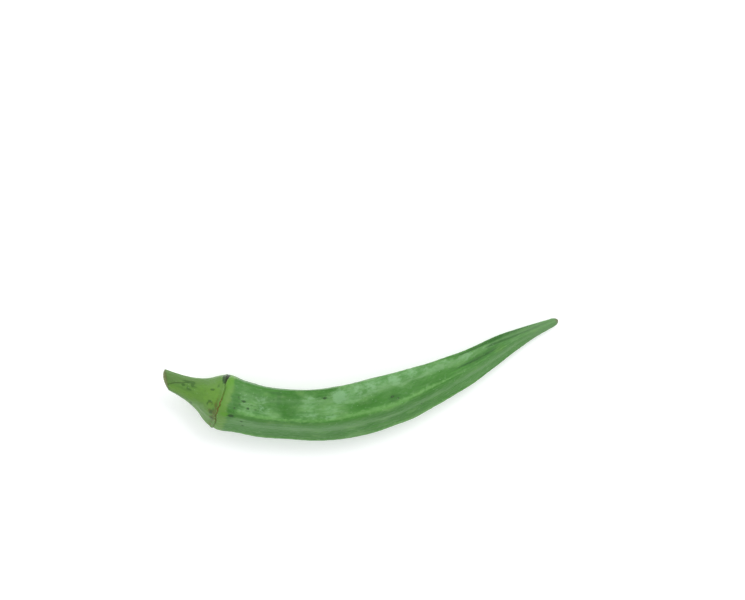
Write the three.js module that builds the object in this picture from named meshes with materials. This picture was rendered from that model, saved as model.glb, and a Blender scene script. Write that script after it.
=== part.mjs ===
// An okra pod, as picked. A short cut stem flares into a cap, the cap ends at the ring scar where
// the flower sat, and the five-ridged pod behind it curves and tapers to a blunt beak. All of it
// grew as one piece, so it is one mesh.
//
// Millimetres, +Z up. +X runs from the cut stem to the tip. The pod lies on the plane Z = 0, on its
// lowest ridge, and the origin is the middle of its footprint on that plane.
import * as THREE from "three";

// Driving dimensions.
const LENGTH = 120; // straight across, from the cut stem to the tip
const STEM_RADIUS = 2.7; // at the cut
const RING_RADIUS = 8.5; // rim of the cap, at the ring scar
const SHOULDER_RADIUS = 8.6; // the pod just behind the scar
const WAIST_RADIUS = 7.6; // the pod's narrow part, a quarter of the way along
const BELLY_RADIUS = 8.1; // the pod's second full part, half way along
const BEAK_RADIUS = 1.75; // where the taper turns into the beak
const SCAR_DEPTH = 0.35; // the groove between the cap and the pod
const CUT_SLANT = THREE.MathUtils.degToRad(32); // of the knife cut, from square across the stem
const CUT_DOME = 0.9; // how far the middle of the cut stands proud of its rim
const PRESSED_FLAT = 0.2; // depth by which the lowest ridge is flattened where it rests

// Mesh fineness.
const RIDGES = 5;
const SIDES_PER_RIDGE = 8;
const CAP_STEPS = 14;
const POD_STEPS = 46;

// The middle line from the cut stem to the tip, as [x, y, z], before settle() moves the origin.
const MIDDLE_LINE = [
  [-59.2, -0.2, 8.8],
  [-51.4, -3.3, 8.7],
  [-43.0, -6.3, 8.4],
  [-36.0, -8.1, 8.2],
  [-28.0, -9.75, 8.1],
  [-9.5, -10.2, 8.1],
  [12.0, -5.0, 7.3],
  [31.9, 3.3, 4.65],
  [48.0, 12.4, 2.4],
  [60.8, 17.9, 1.3],
];

// Distances along the middle line, as shares of its whole length.
const RING_AT = 0.14;
const SCAR_HALF_WIDTH = 0.003;
const SLANT_FADES_AT = RING_AT / 2; // the cut's slant is gone this far along
const PROFILE_OF_CAP = [
  [0.0, STEM_RADIUS],
  [0.035, STEM_RADIUS * 1.15],
  [0.065, STEM_RADIUS * 1.45],
  [0.095, RING_RADIUS * 0.635],
  [0.12, RING_RADIUS * 0.885],
  [RING_AT - SCAR_HALF_WIDTH, RING_RADIUS],
];
const PROFILE_OF_POD = [
  [RING_AT + SCAR_HALF_WIDTH, SHOULDER_RADIUS * 0.985],
  [0.155, SHOULDER_RADIUS],
  [0.19, SHOULDER_RADIUS * 0.935],
  [0.26, WAIST_RADIUS],
  [0.34, WAIST_RADIUS * 1.015],
  [0.49, BELLY_RADIUS],
  [0.58, BELLY_RADIUS * 0.93],
  [0.67, BELLY_RADIUS * 0.755],
  [0.75, BELLY_RADIUS * 0.625],
  [0.83, BELLY_RADIUS * 0.475],
  [0.9, BELLY_RADIUS * 0.325],
  [0.95, BEAK_RADIUS],
  [0.98, BEAK_RADIUS * 0.76],
];
const TIP_STEPS = 4; // the round end of the beak

// How five-sided the section is: 3 is nearly a circle, and 14 has firm ridges and flat faces.
const FIRMNESS = [
  [0.0, 3],
  [0.1, 4],
  [RING_AT, 6],
  [0.19, 9],
  [0.28, 14],
  [0.85, 13],
  [1.0, 4],
];
// The ridges' turn about the middle line, in degrees. Zero puts one flat face towards +Y.
const FIRST_RIDGE = 36;
const TWIST = [
  [0.0, 2],
  [0.55, 0],
  [0.7, -7],
  [1.0, -9],
];

// A value between the rows of a [place, value] table, joined by straight lines.
function between(table, place) {
  const after = table.findIndex(([at]) => at >= place);
  if (after <= 0) return table[after === 0 ? 0 : table.length - 1][1];
  const [[fromAt, from], [toAt, to]] = table.slice(after - 1, after + 1);
  return THREE.MathUtils.mapLinear(place, fromAt, toAt, from, to);
}

// One side of the straight pod, as (radius, share of the length), from the cut stem to the tip. The
// cut's dome has shares below 0.
function straightProfile() {
  const dome = [0, 0.4, 0.7, 0.9].map(
    (share) => new THREE.Vector2(STEM_RADIUS * share, (-CUT_DOME / LENGTH) * (1 - share ** 2)),
  );
  const smooth = (rows, steps) =>
    new THREE.SplineCurve(rows.map(([at, radius]) => new THREE.Vector2(radius, at))).getPoints(steps);
  const cap = smooth(PROFILE_OF_CAP, CAP_STEPS);
  const pod = smooth(PROFILE_OF_POD, POD_STEPS);
  const scar = new THREE.Vector2(RING_RADIUS - SCAR_DEPTH, RING_AT);
  const { x: endRadius, y: endAt } = pod.at(-1);
  const tip = Array.from({ length: TIP_STEPS }, (_, i) => {
    const turn = ((i + 1) / TIP_STEPS) * (Math.PI / 2);
    return new THREE.Vector2(endRadius * Math.cos(turn), endAt + (1 - endAt) * Math.sin(turn));
  });
  tip.at(-1).x = 0;
  return [...dome, ...cap, scar, ...pod, ...tip];
}

// The distance from the middle to the skin at an angle from the first ridge, for a mean radius of 1.
function sectionAt(angle, place) {
  const firmness = between(FIRMNESS, place);
  const reach = (fromRidge) => {
    let sum = 0;
    for (let face = 0; face < RIDGES; face++) {
      const toFace = fromRidge - ((face + 0.5) * 2 * Math.PI) / RIDGES;
      sum += Math.max(0, Math.cos(toFace)) ** firmness;
    }
    return sum ** (-1 / firmness);
  };
  const mean = (reach(0) + reach(Math.PI / RIDGES)) / 2;
  return reach(angle) / mean;
}

// The middle line as a curve, with its own directions at each place: along, across (level) and up.
function middleLine() {
  const points = MIDDLE_LINE.map((p) => new THREE.Vector3(...p));
  const curve = new THREE.CatmullRomCurve3(points, false, "centripetal");
  curve.arcLengthDivisions = 800;
  return (place) => {
    const along = curve.getTangentAt(place);
    const across = new THREE.Vector3(0, 0, 1).cross(along).normalize();
    const up = along.clone().cross(across);
    return { middle: curve.getPointAt(place), along, across, up };
  };
}

// The straight pod turned on a lathe, then ridged and bent along the middle line.
function podGeometry() {
  const frameAt = middleLine();
  const geometry = new THREE.LatheGeometry(straightProfile(), RIDGES * SIDES_PER_RIDGE);
  geometry.deleteAttribute("normal");
  geometry.deleteAttribute("uv");
  const position = geometry.getAttribute("position");
  for (let i = 0; i < position.count; i++) {
    const place = Math.max(0, position.getY(i));
    const proud = Math.max(0, -position.getY(i)) * LENGTH;
    const turned = Math.hypot(position.getX(i), position.getZ(i));
    const fromRidge = Math.atan2(position.getX(i), position.getZ(i));
    const radius = turned * sectionAt(fromRidge, place);
    const angle = fromRidge + THREE.MathUtils.degToRad(FIRST_RIDGE + between(TWIST, place));
    const level = radius * Math.cos(angle);
    const { middle, along, across, up } = frameAt(place);
    const slant = Math.max(0, 1 - place / SLANT_FADES_AT) ** 2;
    const point = middle
      .addScaledVector(across, level)
      .addScaledVector(up, radius * Math.sin(angle))
      .addScaledVector(along, -level * Math.tan(CUT_SLANT) * slant - proud);
    position.setXYZ(i, point.x, point.y, point.z);
  }
  return geometry;
}

// Scales the pod to its stated length, flattens it where it rests and puts the origin under it.
function settle(geometry) {
  geometry.computeBoundingBox();
  const scale = LENGTH / (geometry.boundingBox.max.x - geometry.boundingBox.min.x);
  geometry.scale(scale, scale, scale);
  geometry.computeBoundingBox();
  geometry.translate(0, 0, -geometry.boundingBox.min.z - PRESSED_FLAT);
  const position = geometry.getAttribute("position");
  for (let i = 0; i < position.count; i++) {
    position.setZ(i, Math.max(0, position.getZ(i)));
  }
  geometry.computeBoundingBox();
  const middle = geometry.boundingBox.getCenter(new THREE.Vector3());
  geometry.translate(-middle.x, -middle.y, 0);
  geometry.computeVertexNormals();
  return geometry;
}

const skin = new THREE.MeshStandardMaterial({ color: 0x5a8d4e, roughness: 0.5, metalness: 0 });
const pod = new THREE.Mesh(settle(podGeometry()), skin);
pod.name = "okra_pod";

const okra = new THREE.Group();
okra.add(pod);

export default okra;
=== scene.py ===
"""A fresh okra pod, lying on one ridge on a white studio table, seen from above."""

import math

import bpy
import numpy as np
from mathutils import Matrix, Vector


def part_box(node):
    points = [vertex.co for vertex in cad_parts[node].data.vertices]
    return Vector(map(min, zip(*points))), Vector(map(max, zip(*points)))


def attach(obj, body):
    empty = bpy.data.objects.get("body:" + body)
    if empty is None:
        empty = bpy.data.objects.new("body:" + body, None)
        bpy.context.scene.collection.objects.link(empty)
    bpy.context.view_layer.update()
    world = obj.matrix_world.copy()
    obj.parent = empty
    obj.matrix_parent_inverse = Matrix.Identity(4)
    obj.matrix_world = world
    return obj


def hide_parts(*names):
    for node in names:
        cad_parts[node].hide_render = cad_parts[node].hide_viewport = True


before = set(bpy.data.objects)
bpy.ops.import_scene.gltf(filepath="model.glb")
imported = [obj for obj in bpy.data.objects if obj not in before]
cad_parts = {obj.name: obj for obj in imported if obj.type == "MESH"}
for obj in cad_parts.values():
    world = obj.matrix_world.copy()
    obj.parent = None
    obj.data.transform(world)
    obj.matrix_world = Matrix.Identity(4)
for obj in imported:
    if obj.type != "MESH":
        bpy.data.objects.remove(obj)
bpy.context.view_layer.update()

MM = 0.001
RIDGES = 5
RIDGE_STEP = 2 * math.pi / RIDGES
SEED = 7

# ---------------------------------------------------------------------------
# The pod's form, in millimetres: "along" runs down the middle line from the cut stem to the tip,
# and "angle" goes round it from the first ridge.
# ---------------------------------------------------------------------------

# The middle line before it is placed in the frame.
MIDDLE_LINE = [
    (-59.2, -0.2, 8.8),
    (-51.4, -3.3, 8.7),
    (-43.0, -6.3, 8.4),
    (-36.0, -8.1, 8.2),
    (-28.0, -9.75, 8.1),
    (-9.5, -10.2, 8.1),
    (12.0, -5.0, 7.3),
    (31.9, 3.3, 4.65),
    (48.0, 12.4, 2.4),
    (60.8, 17.9, 1.3),
]
SCAR_AT = 17.9  # the ring scar between the cap and the pod
BEAK_END_AT = 125.4  # where the round end of the beak starts
CAP_PROFILE = [(0.0, 2.7), (4.5, 3.1), (8.3, 3.91), (12.1, 5.4), (15.3, 7.52), (17.5, 8.5)]
POD_PROFILE = [
    (18.3, 8.47),
    (19.8, 8.6),
    (24.3, 8.04),
    (33.3, 7.6),
    (43.5, 7.71),
    (62.7, 8.1),
    (74.2, 7.53),
    (85.8, 6.12),
    (96.0, 5.06),
    (106.2, 3.85),
    (115.2, 2.63),
    (121.6, 1.75),
    (BEAK_END_AT, 1.33),
]
# How five-sided the section is: 3 is nearly a circle, and 14 has firm ridges and flat faces.
FIRMNESS = [(0, 3), (13, 4), (18, 6), (24, 9), (36, 14), (109, 13), (128, 4)]
FULL_RADIUS = 7.5  # ribs and the lines beside them shrink with the pod where it is thinner than this
FIRST_RIDGE = 36  # degrees from +Y
TWIST = [(0, 2), (70, 0), (90, -7), (128, -9)]
CUT_SLANT = math.radians(32)  # of the knife cut, from square across the stem
CUT_DOME = 0.9  # the middle of the cut stands this far proud of its rim
SLANT_FADES_AT = 9.0
PRESSED_FLAT = 0.2  # the lowest ridge gives this much where it rests

# The fine form of the skin. RIB and SCAR are humps and grooves that follow each ridge and the scar, as
# (height, middle, half width), with the middle in mm past the ridge or the scar.
RIB = [
    (0.08, -0.4, 0.6),
    (-0.08, 0.8, 0.5),
    (0.035, 3.0, 1.2),
    (-0.05, -1.5, 0.4),
    (-0.03, 4.6, 0.8),
]
SCAR = [(-0.3, 0.05, 0.18), (0.13, -0.5, 0.35), (0.05, 1.0, 0.6)]
CRUST_RIDGE = (0.06, -0.15, 0.3)
FACE_HOLLOW = 0.12  # how far each face sinks between its ridges
FLUTE_DEPTH = 0.2  # of the flutes on the cap
FURROW_DEPTH = 0.2
SCRATCH_DEPTH = 0.12
SEED_PITCH = 5.6
SEED_BUMP = 0.06
SEED_ROW_HALF_WIDTH = 2.6
# Unevenness, as (height, seed, waves round the pod, length of a wave along it, number of waves).
SCAR_WANDER = (0.16, 1, (2, 9), (10, 20), 24)
SCAR_JAGS = (0.11, 2, (12, 46), (10, 20), 24)
SEED_DRIFT = (0.8, 3, (0, 0), (25, 60), 6)  # its height is in radians of the row of seeds
LUMPS = (0.08, 4, (0, 4), (9, 30), 24)
VEINS = (0.02, 5, (18, 60), (30, 120), 60)
DENTS = (0.018, 6, (10, 40), (1.2, 4.0), 60)
STEM_LUMPS = (0.07, 7, (2, 7), (12, 40), 24)
STEM_GRAIN = (0.03, 8, (8, 24), (6, 30), 24)
CRUST_CRUMBS = (1.0, 9, (20, 70), (0.5, 1.5), 30)
TORN_CUT = (0.06, 11, (2, 14), (0.75, 2.25), 24)  # its lengths go out from the middle of the cut
COLLAR_EDGE = (0.45, 12, (2, 14), (9, 20), 24)
RIDGE_WANDER = (0.16, 21, (0, 3), (18, 70), 8)

# The mesh's rings: how far apart they are, and where the close ones stand.
SIDES = 200
CAP_FROM = 0.5
CAP_STEP = 0.32
POD_STEP = 0.27
SCAR_STEP = 0.09
SCAR_ZONE = 1.4  # rings are close together this far each side of the scar
TIP_RINGS = 12
LAST_RING = 0.97  # how far round the tip's quarter circle the last ring is
RIM_PLACES = [0.0, 0.05, 0.14, 0.28]  # the rings that round the cut's rim
RIM_DROPS = [0.24, 0.11, 0.04, 0.0]
# The cut face's rings, from the middle to the rim, as shares of its radius.
CUT_SHARES = [0.14, 0.28, 0.42, 0.55, 0.67, 0.78, 0.88, 0.95]

# The unwrapping, in shares of its square: two strips, as (left, bottom, width, height), and a disc.
SPLIT_AT = 72.0  # where along the pod the two strips meet, in mm
STEM_STRIP = (0.01, 0.01, 0.98, 0.49)
TIP_STRIP = (0.01, 0.54, 0.855, 0.44)
CUT_DISC = (0.935, 0.6, 0.05)  # its middle and its radius


def smooth_line(points, steps=50):
    """Close points on a centripetal Catmull-Rom curve through the given ones."""
    points = np.array(points, float)
    first = 2 * points[0] - points[1]
    last = 2 * points[-1] - points[-2]
    padded = np.vstack([first, points, last])
    share = np.linspace(0, 1, steps, endpoint=False)[:, None]
    runs = []
    for p0, p1, p2, p3 in zip(padded, padded[1:], padded[2:], padded[3:]):
        gap0, gap1, gap2 = (np.linalg.norm(b - a) ** 0.5 for a, b in ((p0, p1), (p1, p2), (p2, p3)))
        leave = ((p1 - p0) / gap0 - (p2 - p0) / (gap0 + gap1)) * gap1 + p2 - p1
        arrive = ((p3 - p2) / gap2 - (p3 - p1) / (gap1 + gap2)) * gap1 + p2 - p1
        square = 3 * (p2 - p1) - 2 * leave - arrive
        cube = 2 * (p1 - p2) + leave + arrive
        runs.append(p1 + share * (leave + share * (square + share * cube)))
    return np.vstack([*runs, points[-1:]])


def distances(line):
    """How far each point of a line is along it."""
    return np.concatenate([[0], np.cumsum(np.linalg.norm(np.diff(line, axis=0), axis=1))])


def rises(value, start, end):
    """0 before start, 1 after end and smooth between them."""
    share = np.clip((value - start) / (end - start), 0, 1)
    return share * share * (3 - 2 * share)


def hump(value, middle, half_width):
    """A smooth hump of height 1."""
    return np.exp(-(((value - middle) / half_width) ** 2))


def humps(value, rows):
    """The sum of smooth humps, each as (height, middle, half width)."""
    return sum(height * hump(value, middle, half_width) for height, middle, half_width in rows)


def ripples(along, angle, height, seed, rounds, lengths, count):
    """Seeded waves that add up to about the height given. Each goes round the pod a whole number of
    times, between the two in rounds, and its length along the pod is between the two in lengths."""
    chance = np.random.default_rng(SEED + seed)
    total = 0
    for _ in range(count):
        turns = chance.integers(rounds[0], rounds[1] + 1)
        pace = 2 * math.pi / chance.uniform(*lengths) * chance.choice([-1, 1])
        total = total + np.cos(turns * angle + pace * along + chance.uniform(0, 2 * math.pi))
    return height * (total / math.sqrt(count))


def turned_from(angle, degrees):
    """The turn from a place given in degrees, in radians, the short way round."""
    return np.mod(angle - np.radians(degrees) + math.pi, 2 * math.pi) - math.pi


def profile_radius(along, length):
    """The pod's mean radius, with the beak closed by a round end."""
    sides = np.vstack([smooth_line(CAP_PROFILE), smooth_line(POD_PROFILE)])
    radius = np.interp(along, sides[:, 0], sides[:, 1])
    past = np.clip((along - BEAK_END_AT) / (length - BEAK_END_AT), 0, 1)
    return np.where(along > BEAK_END_AT, radius * np.sqrt(1 - past**2), radius)


def section(along, angle):
    """The five-sided section's reach at an angle, for a mean radius of 1."""
    firmness = np.interp(along, *zip(*FIRMNESS))

    def reach(at):
        faces = (np.maximum(0, np.cos(at - (face + 0.5) * RIDGE_STEP)) for face in range(RIDGES))
        return sum(toward**firmness for toward in faces) ** (-1 / firmness)

    mean = (reach(0.0) + reach(RIDGE_STEP / 2)) / 2
    return reach(angle) / mean


def ring_places(length):
    """Where the rings of the mesh stand, closer together at the scar and at both ends."""
    tip_turns = np.linspace(0, LAST_RING, TIP_RINGS) * math.pi / 2
    return np.concatenate(
        [
            RIM_PLACES,
            np.arange(CAP_FROM, SCAR_AT - SCAR_ZONE, CAP_STEP),
            np.arange(SCAR_AT - SCAR_ZONE, SCAR_AT + SCAR_ZONE, SCAR_STEP),
            np.arange(SCAR_AT + SCAR_ZONE, BEAK_END_AT, POD_STEP),
            BEAK_END_AT + (length - BEAK_END_AT) * np.sin(tip_turns),
        ]
    )


def past_scar(along, angle):
    """How far past the scar a point is, in mm. The scar wanders a little as it goes round."""
    return along - SCAR_AT - ripples(0, angle, *SCAR_WANDER) - ripples(0, angle, *SCAR_JAGS)


def taper(radius):
    """How far the ribs have shrunk with the pod."""
    return np.clip(radius / FULL_RADIUS, 0.4, 1)


def past_ridge(along, angle, radius):
    """How far a point is past the ridge nearest to it, in mm, on a pod that hasn't tapered yet. The
    lines that follow a ridge wander a little from side to side."""
    ridge = np.round(angle / RIDGE_STEP)
    across = (angle - ridge * RIDGE_STEP) * radius
    return across / taper(radius) + ripples(along, ridge * RIDGE_STEP, *RIDGE_WANDER)


def from_line(line, along, angle, radius, fade=1.0):
    """Minus the distance in mm, measured round the pod, from a line drawn on the skin. It falls by
    another 1 for every fade mm past the line's ends."""
    places, degrees = zip(*line)
    across = np.abs(turned_from(angle, np.interp(along, places, degrees))) * radius
    beyond = np.maximum(0, np.maximum(places[0] - along, along - places[-1]))
    return -across - beyond / fade


def from_furrows(along, angle, radius):
    """The same for the nearest of the furrows that open near the tip."""
    return np.maximum.reduce([from_line(line, along, angle, radius, FURROW_FADE) for line in FURROWS])


def seed_rows(along, angle, radius):
    """The seeds stand in a row behind each face, and press it out a very little."""
    face = np.floor(np.mod(angle, 2 * math.pi) / RIDGE_STEP)
    drift = ripples(along, 0, *SEED_DRIFT)
    seeds = np.cos(2 * math.pi * along / SEED_PITCH + 2.1 * face + drift)
    from_face_middle = (np.mod(angle, RIDGE_STEP) - RIDGE_STEP / 2) * radius
    seeds = seeds * hump(from_face_middle, 0, SEED_ROW_HALF_WIDTH * taper(radius))
    return SEED_BUMP * seeds * (1 - rises(along, 85, 105))


def relief(along, angle, radius):
    """The fine form of the skin, in mm out from the plain five-sided form."""
    from_scar = past_scar(along, angle)
    rib = humps(past_ridge(along, angle, radius), RIB) * taper(radius)
    hollow = -FACE_HOLLOW * np.sin(RIDGES / 2 * angle) ** 2
    ribbed = rises(along, SCAR_AT + 0.5, SCAR_AT + 7) * (1 - rises(along, 114, 124))
    uneven = ripples(along, angle, *LUMPS)
    furrow = -FURROW_DEPTH * hump(from_furrows(along, angle, radius), 0, FURROW_HALF_WIDTH)
    pod = ribbed * (rib + seed_rows(along, angle, radius) + hollow + uneven) + furrow

    # The cap has two flutes for each ridge, and they deepen towards the scar.
    flutes = -FLUTE_DEPTH * rises(along, 6, 15) * np.abs(np.sin(RIDGES * angle + 0.5)) ** 0.7
    scratched = 1 + from_line(SCRATCH, along, angle, radius) / SCRATCH_HALF_WIDTH
    scratch = -SCRATCH_DEPTH * np.clip(scratched, 0, 1)
    stem = ripples(along, angle, *STEM_LUMPS) + ripples(along, angle, *STEM_GRAIN)
    cap = (1 - rises(along, SCAR_AT - 0.5, SCAR_AT)) * (flutes + scratch + stem)

    crust = humps(from_scar, [CRUST_RIDGE]) * ripples(along, angle, *CRUST_CRUMBS)
    scar = humps(from_scar, SCAR) + crust
    grain = ripples(along, angle, *VEINS) + ripples(along, angle, *DENTS)
    return pod + cap + scar + grain * rises(radius, 0.4, 2.0)


def bend(along, level, height, middle, travelled):
    """Moves points of the straight pod to the middle line. All are in mm."""
    heading = np.gradient(middle, travelled, axis=0)
    heading /= np.linalg.norm(heading, axis=1, keepdims=True)
    sideways = np.cross([0, 0, 1.0], heading)
    sideways /= np.linalg.norm(sideways, axis=1, keepdims=True)
    upward = np.cross(heading, sideways)
    slant = np.clip(1 - along / SLANT_FADES_AT, 0, 1) ** 2
    proud = np.minimum(along, 0)
    shift = proud - level * math.tan(CUT_SLANT) * slant

    def follow(directions):
        by_axis = [np.interp(along, travelled, directions[:, axis]) for axis in range(3)]
        return np.stack(by_axis, axis=-1)

    return (
        follow(middle)
        + follow(sideways) * level[..., None]
        + follow(upward) * height[..., None]
        + follow(heading) * shift[..., None]
    )


# ---------------------------------------------------------------------------
# Marks on the skin. Each row is (along mm, angle in degrees, half length mm, half width mm,
# strength).
# ---------------------------------------------------------------------------

PATCHES = {
    # Where the down lies thick and makes the skin look frosted. The pale frost also holds painted
    # highlight where the face turns up to the light.
    "frost_and_sheen": [
        (25.0, 20, 3.4, 2.4, 0.26),
        (29.5, 32, 4.6, 3.0, 0.38),
        (31.0, 64, 9.0, 1.4, 0.55),
        (25.5, 52, 3.6, 2.2, 0.4),
        (34.0, 50, 2.6, 2.0, 0.3),
        (45.5, 27, 3.6, 3.2, 0.75),
        (44.5, 60, 5.0, 2.2, 0.6),
        (52.0, 30, 3.4, 2.6, 0.6),
        (53.0, 54, 4.6, 2.4, 0.6),
        (58.5, 11, 4.0, 3.2, 0.9),
        (60.0, 34, 3.6, 1.6, 0.5),
        (66.5, 9, 4.4, 3.6, 0.9),
        (73.0, 10, 4.0, 3.2, 0.8),
        (79.5, 10, 4.6, 2.9, 0.8),
        (84.5, 26, 3.0, 1.6, 0.4),
        (88.0, 13, 4.4, 2.4, 0.65),
        (95.0, 19, 4.2, 1.9, 0.6),
        (102.0, 23, 4.0, 1.6, 0.6),
        (75.0, 40, 6.0, 1.4, 0.18),
        (93.0, 36, 4.0, 1.0, 0.3),
        (108.0, 27, 4.5, 1.0, 0.6),
        (25.0, 92, 3.4, 1.4, 0.55),
    ],
    # The thickest of it, in blocks, and the brightest painted highlight.
    "rime_and_highlight": [
        (24.5, 33, 1.3, 1.1, 0.4),
        (30.5, 28, 2.0, 1.5, 0.5),
        (31.5, 50, 2.5, 0.9, 0.5),
        (27.0, 66, 2.4, 0.7, 0.5),
        (45.5, 22, 2.2, 1.8, 0.6),
        (46.0, 60, 3.0, 1.1, 0.5),
        (51.5, 65, 2.2, 0.8, 0.7),
        (55.2, 19, 2.1, 1.9, 1.8),
        (61.5, 12, 1.4, 2.4, 0.7),
        (65.8, 13, 2.2, 2.2, 0.8),
        (73.2, 13, 1.9, 2.2, 1.1),
        (79.0, 8, 1.8, 1.7, 0.6),
        (84.0, 14, 1.7, 1.5, 0.5),
        (90.0, 16, 3.2, 1.5, 0.4),
        (97.0, 21, 2.5, 1.1, 0.7),
    ],
    # Thin, even down that makes the skin paler and greyer, with painted grazing sheen on the lower
    # face.
    "haze_and_sheen": [
        (26.0, 100, 7.0, 4.0, 0.6),
        (38.0, 98, 9.0, 3.6, 0.7),
        (52.0, 96, 9.0, 3.0, 0.6),
        (98.0, 104, 12.0, 4.0, 0.7),
        (112.0, 92, 8.0, 4.0, 0.5),
        (123.0, 60, 5.0, 4.0, 0.6),
        (40.0, 170, 16.0, 4.0, 0.6),
        (80.0, 250, 20.0, 4.0, 0.6),
    ],
    # Places with hardly any down, where the green is deepest.
    "bare": [
        (39.0, 28, 1.9, 5.0, 1.1),
        (63.5, 52, 4.5, 1.4, 0.7),
        (22.2, 50, 1.0, 3.0, 0.5),
        (74.0, 62, 6.0, 1.0, 0.4),
    ],
    # Yellower skin beside the scar, and on the cap.
    "lime": [(19.3, 8, 1.2, 2.8, 1.0), (20.1, 78, 1.6, 0.8, 1.2)],
    "sallow": [
        (107.0, 70, 2.2, 1.0, 0.5),
        (2.6, 88, 2.2, 1.3, 1.0),
        (7.2, 86, 3.0, 1.4, 0.9),
        (15.0, 50, 1.8, 5.0, 0.9),
        (12.0, 50, 3.6, 3.2, 0.7),
        (8.0, 200, 4.0, 3.0, 0.7),
        (13.0, 285, 3.0, 3.0, 0.6),
    ],
    # Duller and paler places on the cap.
    "dull": [
        (2.0, 0, 5.0, 2.6, 0.8),
        (1.5, 40, 2.0, 1.6, 0.6),
        (9.5, 5, 4.0, 2.0, 0.5),
        (4.8, 130, 3.0, 1.3, 0.8),
        (6.0, 240, 4.0, 3.0, 0.6),
    ],
    "pale": [
        (13.5, 118, 3.5, 2.4, 0.8),
        (12.5, 98, 3.5, 1.6, 0.6),
        (8.5, 130, 2.5, 1.2, 0.6),
        (12.5, 0, 3.0, 1.6, 0.4),
        (14.0, 235, 2.5, 3.0, 0.6),
    ],
    # Soft darker places, partly painted shade and partly darker stains.
    "shade": [
        (35.8, 18, 0.8, 3.0, 1.0),
        (33.8, 8, 2.4, 0.6, 0.8),
        (71.3, 56, 2.0, 1.4, 1.0),
        (22.8, 55, 1.4, 2.6, 0.4),
        (44.0, 52, 4.0, 0.5, 0.5),
        (46.8, 44, 0.5, 1.6, 0.4),
        (99.5, 55, 5.0, 1.2, 0.9),
        (110.0, 8, 7.0, 1.2, 0.9),
        (105.0, 40, 4.0, 0.8, 0.5),
        (83.0, 100, 7.0, 3.0, 0.4),
        (66.0, 38, 0.6, 1.6, 0.4),
        (91.0, 42, 1.4, 0.5, 0.5),
    ],
    # Bruises on the cap: small, soft and dark.
    "bruise": [
        (5.5, 43, 0.55, 0.55, 1.0),
        (6.7, 18, 1.7, 0.4, 1.0),
        (8.2, 24, 0.5, 1.0, 1.0),
        (9.0, 36, 0.9, 0.35, 0.6),
        (7.8, 54, 0.7, 0.35, 0.8),
        (7.0, 50, 0.3, 0.5, 0.6),
        (6.6, 32, 0.9, 0.9, 0.35),
        (9.6, 119, 0.6, 0.9, 0.9),
        (14.3, 32, 0.8, 0.45, 0.8),
        (14.2, 70, 0.3, 0.7, 0.8),
        (14.7, 62, 0.7, 0.35, 0.9),
        (15.6, 66, 0.35, 0.5, 0.7),
        (16.0, 87, 0.55, 0.8, 1.0),
        (16.4, 76, 0.4, 0.6, 0.6),
        (16.8, 104, 0.55, 0.8, 1.0),
        (15.7, 20, 0.5, 0.9, 0.5),
        (13.2, 104, 0.8, 0.8, 0.4),
        (10.5, 170, 0.6, 0.9, 0.8),
        (13.8, 214, 0.7, 0.5, 0.9),
        (7.4, 252, 0.5, 0.8, 0.8),
        (15.4, 300, 0.5, 1.0, 0.9),
    ],
    # Brown stains on the cap beside the scar.
    "scorch": [
        (15.9, 84, 1.0, 0.8, 1.0),
        (16.6, 103, 0.9, 0.9, 0.9),
        (15.1, 64, 1.2, 0.6, 0.5),
        (16.8, 60, 0.6, 2.2, 0.6),
        (17.1, 92, 0.5, 3.2, 0.8),
        (16.9, 128, 0.6, 1.6, 0.5),
        (17.0, 348, 0.9, 2.4, 0.9),
    ],
}
# Nicks and dark spots.
NICKS = [
    (21.8, 78, 1.1, 0.55, 1.0),
    (24.7, 42, 0.95, 0.45, 0.9),
    (22.9, 35, 0.5, 0.3, 0.8),
    (23.6, 51, 0.45, 0.3, 0.8),
    (27.3, 47, 0.6, 0.3, 0.6),
    (23.2, 39, 0.45, 0.35, 0.6),
    (26.5, 56, 0.7, 0.55, 0.75),
    (22.4, 61, 0.5, 0.6, 0.7),
    (24.2, 32, 0.5, 0.3, 0.6),
    (23.3, 68, 0.5, 0.3, 0.6),
    (25.5, 91, 0.75, 0.4, 0.9),
    (26.2, 107, 0.6, 0.4, 0.9),
    (28.9, 55, 0.6, 0.35, 0.6),
    (34.2, 23, 0.55, 0.4, 0.55),
    (50.4, 18, 0.95, 0.45, 0.9),
    (70.9, 52, 1.2, 0.6, 0.65),
    (72.4, 60, 0.9, 0.5, 0.5),
    (78.5, 104, 0.45, 0.4, 0.8),
    (17.0, 354, 0.9, 2.6, 1.0),
    (17.2, 10, 0.5, 0.9, 0.9),
]
PATCH_FALL = 2.6  # the power by which a patch falls off at its edge
# The lines beside each ridge, as (middle, half width), with the middle in mm past the ridge: the crest
# is a painted highlight and the groove painted shade.
CREST_HIGHLIGHT = (-0.5, 0.4)
GROOVE_SHADE = (0.75, 0.7)
BAND = (3.3, 1.4)
COLLAR_WIDTH = 2.7  # the pod's pale collar past the scar
CRUST_MIDDLE = -0.08  # where the crust and the rot lie, past the scar
ROT_MIDDLE = -0.1
# The scratch on the stem, as (along mm, angle in degrees).
SCRATCH = [(0.5, 76), (2.9, 50), (5.1, 34), (6.9, 20)]
SCRATCH_HALF_WIDTH = 0.25
# The furrows that open near the tip, in the same way. FURROW_FADE is from_line's fade for them.
FURROWS = [
    [(95, 51), (104, 56)],
    [(106, 26), (112, 40), (118, 44), (123, 32)],
    [(96, 6), (108, 8), (118, 4)],
    [(96, 176), (108, 182), (120, 188)],
    [(90, 236), (104, 244), (116, 240)],
    [(104, 262), (114, 270), (122, 266)],
    [(98, 318), (110, 326), (121, 322)],
]
FURROW_FADE = 9.0
FURROW_HALF_WIDTH = 0.4
RIM_WIDTH = 0.5  # the dry rim of the stem's cut
PITH_RADIUS = 1.5
ELSEWHERE = -9.0  # far outside a mark
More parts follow.
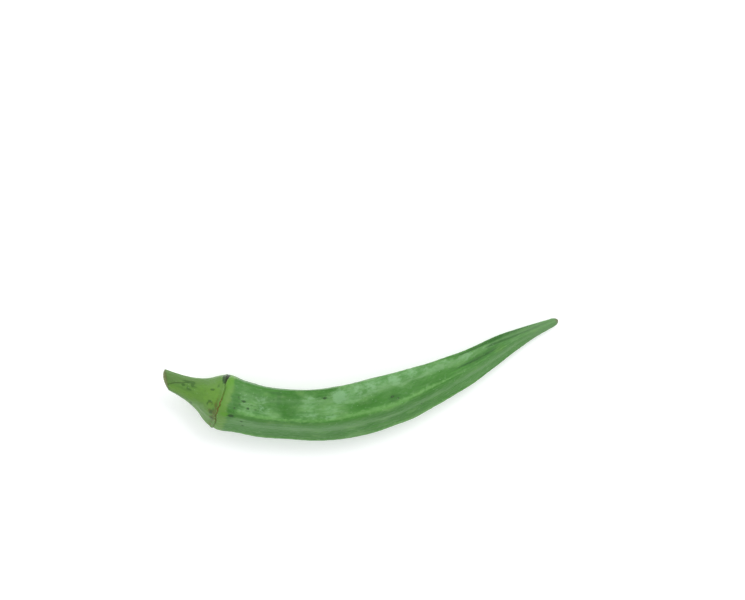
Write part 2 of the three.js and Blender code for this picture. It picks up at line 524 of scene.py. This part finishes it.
# Half widths of the scar's brown crust and of its black rot, as (angle in degrees, mm).
CRUST_WIDTH = [
    (0, 0.1),
    (20, 0.06),
    (44, 0.1),
    (56, 0.22),
    (70, 0.2),
    (84, 0.16),
    (130, 0.1),
    (240, 0.15),
]
ROT_WIDTH = [
    (0, 0.5),
    (14, 0.16),
    (36, 0.04),
    (52, -0.1),
    (74, -0.02),
    (96, 0.12),
    (112, 0.05),
    (240, 0.0),
    (300, 0.1),
    (322, 0.6),
    (345, 0.75),
]


def mark_shares(row, along, angle, radius):
    """How far each point is from a mark's middle, as a share of the mark's size."""
    mark_along, degrees, half_length, half_width, _ = row
    across = turned_from(angle, degrees) * radius
    return np.hypot((along - mark_along) / half_length, across / half_width)


def frost_and_sheen_elsewhere():
    """Frosted places on the other four faces, with the same painted highlight, drawn by chance in the
    same manner.
    """
    chance = np.random.default_rng(SEED)
    rows = []
    for face in range(1, RIDGES):
        along = 26.0 + chance.uniform(0, 4)
        while along < 104:
            middle = math.degrees((face + 0.5) * RIDGE_STEP) + chance.uniform(-16, 16)
            half_width = chance.uniform(1.8, 3.6) * np.interp(along, [60, 105], [1.0, 0.4])
            half_length = chance.uniform(2.5, 5)
            rows.append((along, middle, half_length, half_width, chance.uniform(0.2, 0.5)))
            along += chance.uniform(6, 12)
    return rows


def nicks_elsewhere():
    """A few nicks on the faces that the listed ones leave bare, on the pod and then on the cap."""
    chance = np.random.default_rng(SEED + 1)
    rows = []
    for _ in range(26):
        size = chance.uniform(0.2, 0.5), chance.uniform(0.15, 0.3)
        place = chance.uniform(20, 108), chance.uniform(110, 340)
        rows.append((*place, *size, chance.uniform(0.4, 0.9)))
    for _ in range(12):
        place = chance.uniform(2, 17), chance.uniform(130, 350)
        rows.append((*place, chance.uniform(0.3, 0.6), 0.3, 0.7))
    return rows


def inside(place, middle, half_width):
    """How far inside a line's edges a place is. It is below 0 outside them."""
    return half_width - np.abs(place - middle)


def patch_marks(along, angle, radius):
    """The strength of each kind of patch at each point."""
    marks = {}
    for name, rows in PATCHES.items():
        rows = rows + frost_and_sheen_elsewhere() if name == "frost_and_sheen" else rows
        shares = [(row[-1], mark_shares(row, along, angle, radius)) for row in rows]
        marks[name] = sum(strength * np.exp(-share**PATCH_FALL) for strength, share in shares)
    return marks


def ridge_marks(along, angle, past, off_collar):
    """A painted highlight on the crest of each ridge, painted shade in the groove beside it, and the
    band past that. Each crest highlight is widest in two places. The crest highlight and the groove
    shade narrow towards the tip, and the first ridge has hardly any crest highlight and no groove
    shade."""
    ridge = np.round(angle / RIDGE_STEP) % RIDGES
    first = ridge == 0
    wide = 0.35 * hump(along, 69 + 9 * RIDGE_STEP * (ridge - 1), 10) + 0.175 * hump(along, 29, 7)
    return {
        "crest_highlight": inside(past, *CREST_HIGHLIGHT) + wide + off_collar - 0.45 * rises(along, 78, 96) - 0.7 * first,
        "groove_shade": inside(past, *GROOVE_SHADE) + off_collar - 0.8 * rises(along, 48, 84) - 1.0 * first,
        "band": inside(past, *BAND) + off_collar,
    }


def scar_marks(angle, from_scar):
    """Both sides of the scar, the pod's pale collar, and the crust and the rot in the scar."""
    degrees = np.mod(np.degrees(angle), 360)
    crust_width = np.interp(degrees, *zip(*CRUST_WIDTH), period=360)
    rot_width = np.interp(degrees, *zip(*ROT_WIDTH), period=360)
    on_pod = from_scar > 0
    collar = COLLAR_WIDTH + ripples(0, angle, *COLLAR_EDGE) - from_scar
    return {
        "collar": np.where(on_pod, collar, ELSEWHERE),
        "on_pod": np.where(on_pod, 0.0, ELSEWHERE),
        "on_cap": np.where(on_pod, ELSEWHERE, 0.0),
        "crust": inside(from_scar, CRUST_MIDDLE, crust_width),
        "rot": inside(from_scar, ROT_MIDDLE, rot_width),
    }


def skin_marks(along, angle, radius, length):
    """What the materials read at each point. Patches are strengths from 0 to about 1. The others are
    in mm, above 0 inside the mark and below 0 outside it."""
    from_scar = past_scar(along, angle)
    past = past_ridge(along, angle, radius)
    off_collar = 3.0 * (rises(from_scar, 1.5, 6.0) - 1) - 3.0 * rises(along, 121, 125)
    marks = patch_marks(along, angle, radius)
    marks |= ridge_marks(along, angle, past, off_collar)
    marks |= scar_marks(angle, from_scar)

    # The down is worn off the ridges, all but the first.
    worn = 0.55 * hump(past, 0.5, 0.5) * (np.round(angle / RIDGE_STEP) % RIDGES > 0)
    marks["frost_and_sheen"] = np.clip(marks["frost_and_sheen"], 0, 1.1) * (1 - worn) * (1 - 0.8 * marks["bare"])

    nearest = []
    for nick in NICKS + nicks_elsewhere():
        share = mark_shares(nick, along, angle, radius)
        nearest.append((nick[-1] - share) * min(nick[2:4]))
    marks["nick"] = np.maximum.reduce(nearest)
    # painted shade along the furrows near the tip
    marks["furrow"] = FURROW_HALF_WIDTH + from_furrows(along, angle, radius)
    marks["scratch"] = SCRATCH_HALF_WIDTH + from_line(SCRATCH, along, angle, radius)
    marks["rim"] = RIM_WIDTH - along
    marks["tip"] = along - length
    marks["pith"] = PITH_RADIUS - radius
    return marks


# ---------------------------------------------------------------------------
# The mesh
# ---------------------------------------------------------------------------


def straight_pod(length):
    """The pod before it is bent, as along, angle and radius at each point of each ring. The first
    rings are the cut face's, from near its middle to near its rim."""
    turns = np.arange(SIDES) * 2 * math.pi / SIDES
    along, angle = np.meshgrid(ring_places(length), turns, indexing="ij")
    plain = profile_radius(along, length) * section(along, angle)
    radius = plain + relief(along, angle, plain)
    radius[: len(RIM_DROPS)] -= np.array(RIM_DROPS)[:, None]

    shares = np.array(CUT_SHARES)[:, None]
    cut_angle = np.repeat(angle[:1], len(CUT_SHARES), axis=0)
    cut_radius = radius[:1] * shares
    torn = ripples(cut_radius, cut_angle, *TORN_CUT)
    cut_along = -CUT_DOME * (1 - shares**2) + torn
    cut = (cut_along, cut_angle, cut_radius)
    return [np.vstack(pair) for pair in zip(cut, (along, angle, radius))]


def place_pod(points):
    """Brings the bent pod, in mm, to the frame's box, in metres, and flattens it where it rests."""
    low, high = (np.array(corner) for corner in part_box("okra_pod"))
    placed = points * (high[0] - low[0]) / np.ptp(points[:, 0])
    placed[:, 2] -= placed[:, 2].min() + PRESSED_FLAT * MM
    placed[:, 2] = np.maximum(placed[:, 2], 0) + low[2]
    placed[:, :2] += ((low + high) / 2)[:2] - (placed.min(0) + placed.max(0))[:2] / 2
    return placed


def pod_faces(ring_count):
    """Every face as the (ring, side) of each corner: quads between the rings and a fan at each end.
    The point in the middle of the cut is ring -1, and the tip's comes after the last ring."""
    sides = np.arange(SIDES)
    grids = np.meshgrid(np.arange(ring_count - 1), sides, indexing="ij")
    ring, side = (grid.ravel() for grid in grids)
    quads = [(ring, side + 1), (ring + 1, side + 1), (ring + 1, side), (ring, side)]
    first = np.zeros(SIDES, int)
    last = first + ring_count - 1
    cut_fan = [(first - 1, sides), (first, sides + 1), (first, sides)]
    tip_fan = [(last + 1, sides), (last, sides), (last, sides + 1)]
    return [np.array(faces).transpose(2, 0, 1) for faces in (quads, cut_fan, tip_fan)]


def on_strip(strip, across, up):
    """Places on one strip of the unwrapping, from shares of its width and its height."""
    left, bottom, width, height = strip
    return np.stack([left + width * across, bottom + height * up], axis=1)


def unwrap(mesh, faces, row_at):
    """Lays the skin out as two strips, the stem half below the tip half, and the cut as a disc."""
    halfway = row_at[np.searchsorted(row_at, SPLIT_AT)]
    corner = np.concatenate([group.reshape(-1, 2) for group in faces])
    by_corner = [np.repeat(group[:, :, 0].min(1), group.shape[1]) for group in faces]
    face_ring = np.concatenate(by_corner)
    along = row_at[corner[:, 0] + 1]
    round_share = corner[:, 1] / SIDES

    stem_half = on_strip(STEM_STRIP, along / halfway, round_share)
    tip_half = on_strip(TIP_STRIP, (along - halfway) / (row_at[-1] - halfway), round_share)
    disc_right, disc_up, disc_radius = CUT_DISC
    out = disc_radius * (corner[:, 0] + 1) / (len(CUT_SHARES) + 1)
    turn = 2 * math.pi * round_share
    disc = np.stack([disc_right + out * np.cos(turn), disc_up + out * np.sin(turn)], axis=1)

    on_stem_half = row_at[face_ring + 1] < halfway
    on_strips = np.where(on_stem_half[:, None], stem_half, tip_half)
    uv = np.where((face_ring < len(CUT_SHARES))[:, None], disc, on_strips)
    mesh.uv_layers.new(name="OFBake").data.foreach_set("uv", uv.ravel())


def make_pod(skin, cut):
    """The okra pod as a Blender object."""
    middle = smooth_line(MIDDLE_LINE)
    travelled = distances(middle)
    length = travelled[-1]
    along, angle, radius = straight_pod(length)
    turned = angle + np.radians(FIRST_RIDGE + np.interp(along, *zip(*TWIST)))
    level = radius * np.cos(turned)
    height = radius * np.sin(turned)
    rings = bend(along, level, height, middle, travelled)
    ends = bend(np.array([-CUT_DOME, length]), np.zeros(2), np.zeros(2), middle, travelled)
    points = place_pod(np.vstack([ends[:1], rings.reshape(-1, 3), ends[1:]]))

    faces = pod_faces(len(along))
    corner_lists = []
    for group in faces:
        numbers = 1 + group[..., 0] * SIDES + group[..., 1] % SIDES
        corner_lists += np.clip(numbers, 0, len(points) - 1).tolist()
    mesh = bpy.data.meshes.new("okra_pod_skin")
    mesh.from_pydata(points.tolist(), [], corner_lists)

    straight = np.stack([along, radius * np.cos(angle), radius * np.sin(angle)], axis=-1)
    straight = np.vstack([(-CUT_DOME, 0, 0), straight.reshape(-1, 3), (length, 0, 0)])
    places = mesh.attributes.new("straight", "FLOAT_VECTOR", "POINT")
    places.data.foreach_set("vector", straight.ravel())
    for name, value in skin_marks(along, angle, radius, length).items():
        value = np.concatenate([[value[0].mean()], value.ravel(), [value[-1].mean()]])
        mesh.attributes.new(name, "FLOAT", "POINT").data.foreach_set("value", value)

    mesh.materials.append(skin)
    mesh.materials.append(cut)
    on_cut = np.concatenate([group[:, :, 0].min(1) for group in faces]) < len(CUT_SHARES)
    mesh.polygons.foreach_set("material_index", on_cut.astype(int))
    mesh.polygons.foreach_set("use_smooth", np.ones(len(mesh.polygons), bool))
    unwrap(mesh, faces, np.concatenate([[0], np.maximum(along[:, 0], 0), [length]]))
    mesh.update()
    mesh.validate()
    pod = bpy.data.objects.new("okra_pod_skin", mesh)
    bpy.context.collection.objects.link(pod)
    return pod


# ---------------------------------------------------------------------------
# Materials
# ---------------------------------------------------------------------------


def linear(colour):
    """An sRGB hex colour as linear RGBA."""
    parts = np.array([int(colour[place : place + 2], 16) / 255 for place in (1, 3, 5)])
    low = parts / 12.92
    high = ((parts + 0.055) / 1.055) ** 2.4
    return (*np.where(parts <= 0.04045, low, high).tolist(), 1.0)


def add(tree, kind, inputs=None, give=0, **settings):
    """Adds a node with its settings, and a value or a link for each input named. Gives one of its
    outputs."""
    made = tree.nodes.new(kind)
    for name, value in settings.items():
        setattr(made, name, value)
    for socket, value in (inputs or {}).items():
        if isinstance(value, bpy.types.NodeSocket):
            tree.links.new(value, made.inputs[socket])
        else:
            made.inputs[socket].default_value = value
    return made.outputs[give] if made.outputs else made


# The colour sockets of a mix node, which has others of the same names for other kinds of value.
MASK, UNDER, OVER = 0, 6, 7
MIXED = 2


def new_material(name):
    material = bpy.data.materials.new(name)
    material.use_nodes = True
    material.node_tree.nodes.clear()
    return material, material.node_tree


def grow_patterns(tree, straight, scales):
    """Cloudy patterns in the straight pod's millimetres, by name. Each has its cycles per mm along
    the pod and across it, its detail and its roughness."""
    grown = {}
    for name, (lengthwise, across, detail, roughness) in scales.items():
        stretch = {0: straight, 1: (lengthwise, across, across)}
        spread = add(tree, "ShaderNodeVectorMath", stretch, operation="MULTIPLY")
        look = {"Vector": spread, "Scale": 1.0, "Detail": detail, "Roughness": roughness}
        grown[name] = add(tree, "ShaderNodeTexNoise", look)
    return grown


def paint(tree, ground, layers, patterns):
    """Lays colours over a ground colour. Each layer is (mark, pattern, reach, start, full,
    strength, colour). The pattern moves the mark's edge by up to half the reach, and the colour
    comes in from start to full."""
    colour = linear(ground)
    for mark, pattern, reach, start, full, strength, over in layers:
        place = add(tree, "ShaderNodeAttribute", give="Fac", attribute_name=mark)
        moved = {0: patterns[pattern], 1: reach, 2: place}
        ragged = add(tree, "ShaderNodeMath", moved, operation="MULTIPLY_ADD")
        limits = {
            "Value": ragged,
            "From Min": start + reach / 2,
            "From Max": full + reach / 2,
            "To Max": strength,
        }
        mask = add(tree, "ShaderNodeMapRange", limits, interpolation_type="SMOOTHSTEP")
        mix = {MASK: mask, UNDER: colour, OVER: linear(over)}
        colour = add(tree, "ShaderNodeMix", mix, give=MIXED, data_type="RGBA")
    return colour


def okra_skin():
    """Living okra skin: a waxy green rind under short down. The rind is satin, and where the down
    is thick it scatters light and looks frosted. Veins run the length of the pod, and the cap is
    yellower and plainer than the pod. The colour also holds painted highlight on the frosted
    patches and ridge crests, painted sheen on the lower face, and painted shade in the grooves,
    the furrows and other soft darker places."""
    material, tree = new_material("living okra skin")
    straight = add(tree, "ShaderNodeAttribute", give="Vector", attribute_name="straight")
    patterns = grow_patterns(
        tree,
        straight,
        {
            "tone": (0.035, 0.11, 2.0, 0.5),  # slow changes, 10 to 30 mm across
            "veins": (0.05, 1.5, 4.0, 0.55),  # veins 0.6 mm apart and 20 mm long
            "cloud": (0.2, 0.42, 4.0, 0.55),  # patches 3 to 5 mm across
            "strokes": (0.22, 0.9, 4.0, 0.62),  # streaky patches 4 mm long and 1 mm wide
            "mottle": (0.8, 1.3, 3.0, 0.6),  # blotches about 1 mm across
            "down": (2.0, 3.4, 3.0, 0.7),  # tufts 0.3 mm apart: finer ones wouldn't show
        },
    )
    colour = paint(
        tree,
        "#2e6a15",
        [
            ("on_pod", "tone", 1.0, -0.15, 0.15, 0.75, "#3a7720"),
            ("on_pod", "veins", 1.0, 0.0, 0.22, 0.4, "#4b8934"),
            ("on_pod", "veins", -1.0, 0.05, 0.25, 0.45, "#235b07"),
            ("on_pod", "strokes", 1.0, 0.0, 0.25, 0.3, "#4a8238"),
            # thin down, with painted grazing sheen on the lower face
            ("haze_and_sheen", "strokes", 0.9, 0.0, 1.0, 0.5, "#618d56"),
            ("bare", "mottle", 0.6, 0.0, 0.7, 0.85, "#2b6a0a"),
            # frosted down, with painted highlight on the face turned to the light
            ("frost_and_sheen", "cloud", 2.2, 0.0, 1.0, 0.85, "#5d8e4c"),
            ("frost_and_sheen", "strokes", 2.6, 0.5, 1.3, 0.7, "#7aa970"),
            ("frost_and_sheen", "cloud", -2.4, 0.6, 1.3, 0.35, "#4b863f"),
            ("frost_and_sheen", "mottle", -2.0, 0.65, 1.3, 0.4, "#3b752f"),
            # the thickest frost and the brightest painted highlight
            ("rime_and_highlight", "mottle", 2.4, 0.1, 1.1, 0.65, "#7fab7b"),
            # soft darker places: partly painted shade, partly darker stains
            ("shade", "mottle", 1.0, 0.2, 0.9, 0.7, "#2a6418"),
            ("band", "strokes", 2.0, 0.0, 1.4, 0.3, "#648f58"),
            # painted shade in the grooves and a painted highlight on the ridge crests
            ("groove_shade", "strokes", 2.0, 0.0, 0.7, 0.55, "#39770c"),
            ("crest_highlight", "mottle", 2.2, -0.5, 0.7, 0.65, "#6a9f52"),
            # painted shade along the furrows near the tip
            ("furrow", "strokes", 0.8, -0.2, 0.35, 0.75, "#1d5410"),
            ("tip", "cloud", 8.0, -20.0, -5.0, 0.6, "#648b58"),
            ("collar", "cloud", 3.0, -0.9, 0.9, 0.85, "#5f8b32"),
            ("lime", "mottle", 0.8, 0.1, 0.8, 0.6, "#528f14"),
            ("on_cap", "down", 0.0, -0.1, 0.0, 1.0, "#507c2b"),
            ("on_cap", "tone", 1.0, -0.1, 0.14, 0.6, "#5f8a38"),
            ("on_cap", "veins", 1.0, 0.0, 0.24, 0.3, "#6b9549"),
            ("on_cap", "strokes", 1.0, 0.0, 0.2, 0.3, "#648f3a"),
            ("sallow", "cloud", 1.5, 0.0, 1.0, 0.7, "#618f2b"),
            ("pale", "strokes", 1.5, 0.0, 1.0, 0.6, "#6b9058"),
            ("dull", "strokes", 1.5, 0.0, 1.0, 0.6, "#4d6c33"),
            ("on_cap", "mottle", -1.0, 0.04, 0.24, 0.35, "#41691d"),
            ("scorch", "mottle", 1.4, 0.15, 0.8, 0.75, "#4f5706"),
            ("scratch", "mottle", 0.4, 0.0, 0.15, 0.6, "#2c480e"),
            ("rim", "down", 0.8, -0.2, 0.5, 0.7, "#54582f"),
            ("bruise", "mottle", 1.0, 0.15, 0.7, 0.7, "#2b5410"),
            ("nick", "mottle", 0.8, -0.12, 0.05, 0.45, "#2a5f12"),
            ("nick", "down", 0.5, 0.0, 0.2, 0.85, "#123b02"),
            ("crust", "down", 0.3, 0.0, 0.1, 0.9, "#6b3f16"),
            ("rot", "down", 0.3, 0.0, 0.12, 0.9, "#1e2a10"),
            ("tip", "down", 1.0, -1.2, -0.4, 0.7, "#66604a"),
        ],
        patterns,
    )
    # Flecks: dark ones, and the pale bases of the longest hairs. Each is in one cell of a scattering.
    # Rows are (cells per mm along, cells per mm across, share of cells with a fleck, half width in
    # cells, strength, colour).
    flecks = [(0.5, 0.9, 0.2, 0.09, 0.6, "#1f4d14"), (1.0, 1.3, 0.25, 0.1, 0.5, "#9cc492")]
    for lengthwise, across, share, size, strength, over in flecks:
        stretch = {0: straight, 1: (lengthwise, across, across)}
        spread = add(tree, "ShaderNodeVectorMath", stretch, operation="MULTIPLY")
        near = add(tree, "ShaderNodeTexVoronoi", {"Vector": spread, "Scale": 1.0})
        cell = add(tree, "ShaderNodeSeparateColor", {0: near.node.outputs["Color"]})
        chosen = add(tree, "ShaderNodeMath", {0: cell, 1: share}, operation="LESS_THAN")
        limits = {"Value": near, "From Min": size * 1.6, "From Max": size * 0.6, "To Max": strength}
        dot = add(tree, "ShaderNodeMapRange", limits, interpolation_type="SMOOTHSTEP")
        mask = add(tree, "ShaderNodeMath", {0: dot, 1: chosen}, operation="MULTIPLY")
        mix = {MASK: mask, UNDER: colour, OVER: linear(over)}
        colour = add(tree, "ShaderNodeMix", mix, give=MIXED, data_type="RGBA")

    frost_and_sheen = add(tree, "ShaderNodeAttribute", give="Fac", attribute_name="frost_and_sheen")
    roughness = add(tree, "ShaderNodeMapRange", {"Value": frost_and_sheen, "To Min": 0.46, "To Max": 0.6})
    normal = None
    for pattern, depth in (("down", 0.04), ("mottle", 0.06), ("veins", 0.1)):
        bump = {"Height": patterns[pattern], "Distance": depth * MM, "Strength": 0.6}
        bump |= {"Normal": normal} if normal else {}
        normal = add(tree, "ShaderNodeBump", bump)
    shader = add(
        tree,
        "ShaderNodeBsdfPrincipled",
        {
            "Base Color": colour,
            "Roughness": roughness,
            "IOR": 1.4,
            "Sheen Weight": 0.12,
            "Sheen Roughness": 0.45,
            "Sheen Tint": linear("#dcedd4"),
            "Subsurface Weight": 0.08,
            "Subsurface Radius": (0.5, 1.0, 0.3),
            "Subsurface Scale": MM,
            "Normal": normal,
        },
    )
    add(tree, "ShaderNodeOutputMaterial", {"Surface": shader})
    return material


def cut_stem():
    """Freshly cut okra stem: a fibrous green rind round a paler pith that browns as it dries."""
    material, tree = new_material("cut okra stem")
    straight = add(tree, "ShaderNodeAttribute", give="Vector", attribute_name="straight")
    patterns = grow_patterns(
        tree,
        straight,
        {
            "fibres": (0.2, 2.4, 4.0, 0.7),  # fibre bundles 0.4 mm thick
            "stain": (0.2, 0.7, 3.0, 0.6),  # brown stains 1 to 2 mm across
        },
    )
    colour = paint(
        tree,
        "#6d7a45",
        [
            ("pith", "fibres", 0.9, -0.1, 0.5, 0.9, "#8d9a62"),
            ("on_cap", "fibres", 1.0, 0.02, 0.2, 0.6, "#56532c"),
            ("on_cap", "stain", 1.0, 0.0, 0.2, 0.5, "#6b6238"),
        ],
        patterns,
    )
    bump = {"Height": patterns["fibres"], "Distance": 0.2 * MM, "Strength": 0.8}
    rough_cut = add(tree, "ShaderNodeBump", bump)
    look = {"Base Color": colour, "Roughness": 0.7, "IOR": 1.4, "Normal": rough_cut}
    shader = add(tree, "ShaderNodeBsdfPrincipled", look)
    add(tree, "ShaderNodeOutputMaterial", {"Surface": shader})
    return material


def light_table():
    """Opal white acrylic, cast and lit from beneath, so that shadows on it are pale."""
    material, tree = new_material("opal acrylic light table")
    look = {
        "Base Color": linear("#f4f4f4"),
        "Roughness": 0.9,
        "Specular IOR Level": 0.1,
        "Emission Color": linear("#ffffff"),
        "Emission Strength": 0.22,
    }
    shader = add(tree, "ShaderNodeBsdfPrincipled", look)
    add(tree, "ShaderNodeOutputMaterial", {"Surface": shader})
    return material


# ---------------------------------------------------------------------------
# The studio
# ---------------------------------------------------------------------------

FLOOR_SIZE = 6.0
FLOOR_DROP = 0.00002  # keeps the floor from lying in the pod's own flats
SKY_COLOUR = "#fbfdff"
SKY_STRENGTH = 0.95
KEY_PLACE = (0.5, 0.6, 0.9)
KEY_SIZE = 0.8
KEY_POWER = 6.0
CAMERA_HEIGHT = 2.0
VIEW_WIDTH = 0.2258  # how much of the floor the camera takes in, side to side
VIEW_CENTRE = (0.0035, 0.0241)  # from the middle of the pod, in metres
SENSOR_WIDTH = 36.0


def make_floor():
    mesh = bpy.data.meshes.new("floor")
    half = FLOOR_SIZE / 2
    signs = [(-1, -1), (1, -1), (1, 1), (-1, 1)]
    corners = [(half * across, half * deep, -FLOOR_DROP) for across, deep in signs]
    mesh.from_pydata(corners, [], [(0, 1, 2, 3)])
    mesh.materials.append(light_table())
    floor = bpy.data.objects.new("floor", mesh)
    bpy.context.collection.objects.link(floor)


def soft_light(name, place, size, power):
    """A square softbox that faces the pod."""
    lamp = bpy.data.lights.new(name, "AREA")
    lamp.size = size
    lamp.energy = power
    light = bpy.data.objects.new(name, lamp)
    light.location = place
    light.rotation_euler = (-Vector(place)).to_track_quat("-Z", "Y").to_euler()
    bpy.context.collection.objects.link(light)


def make_lights():
    world = bpy.data.worlds.new("white studio")
    world.use_nodes = True
    sky = world.node_tree.nodes["Background"]
    sky.inputs["Color"].default_value = linear(SKY_COLOUR)
    sky.inputs["Strength"].default_value = SKY_STRENGTH
    bpy.context.scene.world = world
    soft_light("key softbox", KEY_PLACE, KEY_SIZE, KEY_POWER)


def make_camera():
    """Straight above, with the pod low and to the left."""
    low, high = (Vector(corner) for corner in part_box("okra_pod"))
    middle = (low + high) / 2
    data = bpy.data.cameras.new("camera")
    data.sensor_width = SENSOR_WIDTH
    data.lens = SENSOR_WIDTH * (CAMERA_HEIGHT - middle.z) / VIEW_WIDTH
    camera = bpy.data.objects.new("camera", data)
    camera.location = (middle.x + VIEW_CENTRE[0], middle.y + VIEW_CENTRE[1], CAMERA_HEIGHT)
    bpy.context.collection.objects.link(camera)
    bpy.context.scene.camera = camera
    bpy.context.scene.view_settings.view_transform = "Standard"


make_floor()
make_lights()
make_camera()
pod = make_pod(okra_skin(), cut_stem())
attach(pod, "root")
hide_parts("okra_pod")
